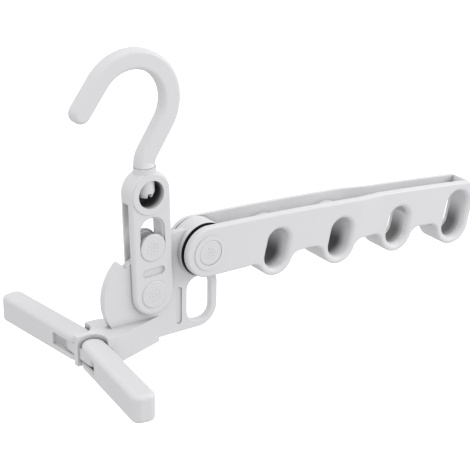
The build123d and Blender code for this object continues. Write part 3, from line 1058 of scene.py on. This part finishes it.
def full_sleeve(node, slot, rail, growth):
    """A sleeve's mesh with its outer wall moved out, and its top cut off if it is the open one."""
    mesh = merged(node)
    outer_reach = slot.radius + rail.sleeve_wall
    tolerance = rail.sleeve_wall / 10
    for vertex in mesh.vertices:
        away = slot.outward(vertex.co)
        if abs(away.length - outer_reach) < tolerance:
            vertex.co += away.normalized() * growth
    if node == OPEN_SLEEVE:
        shape = bmesh.new()
        shape.from_mesh(mesh)
        cut = bmesh.ops.bisect_plane(
            shape,
            geom=[*shape.verts, *shape.edges, *shape.faces],
            plane_co=RAIL_PIVOT + slot.up * (slot.top - rail.open_top_drop),
            plane_no=slot.up,
            clear_outer=True,
        )
        rims = [part for part in cut["geom_cut"] if isinstance(part, bmesh.types.BMEdge)]
        bmesh.ops.edgenet_fill(shape, edges=rims)
        shape.to_mesh(mesh)
        shape.free()
    return mesh


# Floor, light and camera


def make_floor(stage):
    """A pale floor that runs past the view on all sides."""
    low = CAD_BOX[0].z - stage.floor_drop
    reach = stage.floor_reach
    corners = [(-reach, -reach), (reach, -reach), (reach, reach), (-reach, reach)]
    mesh = bpy.data.meshes.new("floor")
    mesh.from_pydata([(*corner, low) for corner in corners], [], [(0, 1, 2, 3)])
    floor = placed("floor", mesh)
    paper = bpy.data.materials.new("Floor paper")
    paper.use_nodes = True
    tree = paper.node_tree
    shader = tree.nodes["Principled BSDF"]
    shader.inputs["Base Color"].default_value = (*stage.floor_colour, 1.0)
    shader.inputs["Roughness"].default_value = 0.9
    shader.inputs["Specular IOR Level"].default_value = 0.0
    shader.inputs["Emission Color"].default_value = (1.0, 1.0, 1.0, 1.0)
    seen = tree.nodes.new("ShaderNodeLightPath").outputs["Is Camera Ray"]
    lift = maths(tree, "MULTIPLY", seen, stage.floor_lift)
    tree.links.new(lift, shader.inputs["Emission Strength"])
    mesh.materials.append(paper)


def make_room(stage):
    """Even light from all round, plain white to the camera."""
    world = bpy.data.worlds.new("Studio")
    bpy.context.scene.world = world
    world.use_nodes = True
    tree = world.node_tree
    tree.nodes.clear()
    seen = tree.nodes.new("ShaderNodeLightPath").outputs["Is Camera Ray"]
    level = add_node(
        tree,
        "ShaderNodeMix",
        {"Factor": seen, "A": stage.room_light, "B": 1.0},
        data_type="FLOAT",
    )
    back = add_node(
        tree,
        "ShaderNodeBackground",
        {"Color": (1.0, 1.0, 1.0, 1.0), "Strength": level.outputs["Result"]},
    )
    add_node(tree, "ShaderNodeOutputWorld", {"Surface": back.outputs["Background"]})


def make_lamps(stage):
    """Three soft lamps, aimed at the middle of the hanger."""
    aim = (CAD_BOX[0] + CAD_BOX[1]) / 2
    for name, place, width, power in (
        ("key_lamp", Vector((-0.85, -0.75, 0.55)), 0.6, stage.key_power),
        ("top_lamp", Vector((0.15, 0.1, 1.2)), 0.9, stage.top_power),
        ("fill_lamp", Vector((0.95, -0.7, 0.4)), 0.7, stage.fill_power),
    ):
        lamp = bpy.data.lights.new(name, "AREA")
        lamp.shape = "DISK"
        lamp.size = width
        lamp.energy = power
        holder = placed(name, lamp)
        holder.location = aim + place
        holder.rotation_euler = (-place).to_track_quat("-Z", "Y").to_euler()


def make_camera(view):
    """A camera at the photograph's angle, aimed at the link's pivot."""
    camera = bpy.data.cameras.new("camera")
    camera.sensor_fit = "HORIZONTAL"
    camera.sensor_width = 36.0
    camera.lens = view.lens
    camera.shift_x = view.shift_across
    camera.shift_y = view.shift_up
    camera.clip_start = 0.01
    holder = placed("camera", camera)
    back = Vector(
        (
            -sin(view.around) * cos(view.above),
            -cos(view.around) * cos(view.above),
            sin(view.above),
        )
    )
    turn = (-back).to_track_quat("-Z", "Y").to_matrix() @ Matrix.Rotation(view.roll, 3, "Z")
    stand = Matrix.Translation(LINK_PIVOT + back * view.distance)
    holder.matrix_world = stand @ turn.to_4x4()
    bpy.context.scene.camera = holder


# Steps that dress the hanger


class HANGER_OT_hook(bpy.types.Operator):
    """Dress the swivelling rod hook"""

    bl_idname = "hanger.hook"
    bl_label = "Hook"

    def execute(self, context):
        edges = context.scene.hanger_edges
        finish = context.scene.hanger_finish
        satin = plastic("Hook plastic", finish, shade=finish.open_shade)
        soft_copy("hook", "rod_hook", edges.moulding_edge, edges, satin)
        return {"FINISHED"}


class HANGER_OT_link(bpy.types.Operator):
    """Dress the forked link"""

    bl_idname = "hanger.link"
    bl_label = "Link"

    def execute(self, context):
        edges = context.scene.hanger_edges
        finish = context.scene.hanger_finish
        satin = plastic("Link plastic", finish, shade=finish.open_shade)
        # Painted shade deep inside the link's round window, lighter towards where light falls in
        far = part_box("link_fork")[1].y - WINDOW_BACK - PAINTED_SHADE_BEHIND
        darken_inside(
            satin,
            {**WINDOW_PAINTED_SHADE, "Far": far},
            LINK_PIVOT + LINK_UP * WINDOW_HEIGHT + Vector((0, PAINTED_SHADE_BEHIND, 0)),
            WINDOW_LIGHT,
            finish.window_depth_shade,
        )
        soft_copy("link_fork", "forked_link", edges.moulding_edge, edges, satin)
        return {"FINISHED"}


class HANGER_OT_pins(bpy.types.Operator):
    """Dress the pivot pins and their caps"""

    bl_idname = "hanger.pins"
    bl_label = "Pins and caps"

    def execute(self, context):
        edges = context.scene.hanger_edges
        pips = context.scene.hanger_pips
        satin = cap_plastic("Cap plastic", context.scene.hanger_finish)
        for node in ("link_pin", "link_pin_cap", "rail_pin", "rail_pin_cap"):
            head = wider_head(node, pips.head_growth)
            soft_copy(node, node + "_dressed", edges.small_edge, edges, satin, shaped=head)
        for node in ("front_arm_pin", "rear_arm_pin"):
            soft_copy(node, node + "_dressed", edges.small_edge, edges, satin)
        pip_rings("link_pin", "link_pin_cap", "link_pin_pips", pips, satin)
        pip_rings("rail_pin", "rail_pin_cap", "rail_pin_pips", pips, satin)
        return {"FINISHED"}


class HANGER_OT_lock(bpy.types.Operator):
    """Dress the sliding lock button"""

    bl_idname = "hanger.lock"
    bl_label = "Lock button"

    def execute(self, context):
        edges = context.scene.hanger_edges
        pips = context.scene.hanger_pips
        satin = cap_plastic("Button plastic", context.scene.hanger_finish)
        for node in ("lock_button", "lock_button_back"):
            disc = wider_head(node, pips.disc_growth)
            soft_copy(node, node + "_dressed", edges.small_edge, edges, satin, shaped=disc)
        pip_rings("lock_button", "lock_button_back", "lock_pips", pips, satin)
        return {"FINISHED"}


class HANGER_OT_body(bpy.types.Operator):
    """Dress the flat body with its finger ring and flared head"""

    bl_idname = "hanger.body"
    bl_label = "Body"

    def execute(self, context):
        edges = context.scene.hanger_edges
        finish = context.scene.hanger_finish
        satin = plastic("Body plastic", finish)
        # Painted shade in the gap between the body's boss and the rail
        up = Vector((0, 0, 1))
        darken_inside(satin, BOSS_GAP_PAINTED_SHADE, RAIL_PIVOT, up, finish.boss_gap_shade)
        soft_copy("body", "flat_body", edges.moulding_edge, edges, satin)
        return {"FINISHED"}


class HANGER_OT_wall_arms(bpy.types.Operator):
    """Dress the two folding wall arms"""

    bl_idname = "hanger.wall_arms"
    bl_label = "Wall arms"

    def execute(self, context):
        edges = context.scene.hanger_edges
        satin = plastic("Arm plastic", context.scene.hanger_finish)
        for node in ("front_wall_arm", "rear_wall_arm"):
            soft_copy(node, node + "_dressed", edges.moulding_edge, edges, satin)
        return {"FINISHED"}


class HANGER_OT_rail(bpy.types.Operator):
    """Dress the rail's two shells and the sleeves between them"""

    bl_idname = "hanger.rail"
    bl_label = "Rail"

    def execute(self, context):
        edges = context.scene.hanger_edges
        finish = context.scene.hanger_finish
        rail = context.scene.hanger_rail
        slots = [Slot(rail, index) for index in range(len(RAIL_SLEEVES))]
        up = slots[0].up
        satin = plastic("Rail plastic", finish)
        # Copies of the rail plastic with painted shade, for the inside of the slots
        wide = painted_shade_slot_plastic("Painted shade in wide slots", up, rail, finish, finish.slot_depth_shade)
        narrow = painted_shade_slot_plastic("Painted shade in narrow slots", up, rail, finish, finish.narrow_slot_shade)
        for node in RAIL_SHELLS:
            soft_copy(
                node,
                node + "_dressed",
                edges.moulding_edge,
                edges,
                satin,
                beside=RAIL_SLEEVES,
                shaped=shell_with_round_rims(node, slots, rail.rim_radius),
            )
        insides = (wide, wide, narrow, narrow)
        growths = (rail.first_growth, rail.second_growth, 0.0, rail.tip_growth)
        for node, slot, growth, inside in zip(
            RAIL_SLEEVES, slots, growths, insides, strict=True
        ):
            wall = full_sleeve(node, slot, rail, growth)
            sleeve = soft_copy(node, node + "_dressed", 0.0, edges, satin, shaped=wall)
            # The sleeve's inner faces take the copy with painted shade
            sleeve.data.materials.append(inside)
            inner_reach = slot.radius + rail.sleeve_wall / 4
            for face in sleeve.data.polygons:
                if slot.outward(face.center).length < inner_reach:
                    face.material_index = 1
        return {"FINISHED"}


class HANGER_OT_stage(bpy.types.Operator):
    """Make the floor, the lights and the camera"""

    bl_idname = "hanger.stage"
    bl_label = "Stage"

    def execute(self, context):
        stage = context.scene.hanger_stage
        context.scene.view_settings.view_transform = "Standard"
        make_floor(stage)
        make_room(stage)
        make_lamps(stage)
        make_camera(context.scene.hanger_view)
        return {"FINISHED"}


class HANGER_PT_panel(bpy.types.Panel):
    """Lists the steps that dress the hanger"""

    bl_idname = "HANGER_PT_panel"
    bl_label = "Folding clothes hanger"
    bl_space_type = "VIEW_3D"
    bl_region_type = "UI"
    bl_category = "Hanger"

    def draw(self, context):
        for operator in OPERATORS:
            self.layout.operator(operator.bl_idname)


SETTINGS = {
    "hanger_edges": HangerEdgeSettings,
    "hanger_pips": HangerPipSettings,
    "hanger_finish": HangerFinishSettings,
    "hanger_rail": HangerRailSettings,
    "hanger_view": HangerViewSettings,
    "hanger_stage": HangerStageSettings,
}
OPERATORS = (
    HANGER_OT_hook,
    HANGER_OT_link,
    HANGER_OT_pins,
    HANGER_OT_lock,
    HANGER_OT_body,
    HANGER_OT_wall_arms,
    HANGER_OT_rail,
    HANGER_OT_stage,
)


def register():
    for name, group in SETTINGS.items():
        bpy.utils.register_class(group)
        setattr(bpy.types.Scene, name, PointerProperty(type=group))
    for operator in OPERATORS:
        bpy.utils.register_class(operator)
    bpy.utils.register_class(HANGER_PT_panel)


def unregister():
    bpy.utils.unregister_class(HANGER_PT_panel)
    for operator in reversed(OPERATORS):
        bpy.utils.unregister_class(operator)
    for name, group in SETTINGS.items():
        delattr(bpy.types.Scene, name)
        bpy.utils.unregister_class(group)


def main():
    register()
    bpy.ops.hanger.hook()
    bpy.ops.hanger.link()
    bpy.ops.hanger.pins()
    bpy.ops.hanger.lock()
    bpy.ops.hanger.body()
    bpy.ops.hanger.wall_arms()
    bpy.ops.hanger.rail()
    bpy.ops.hanger.stage()


if __name__ == "__main__":
    main()
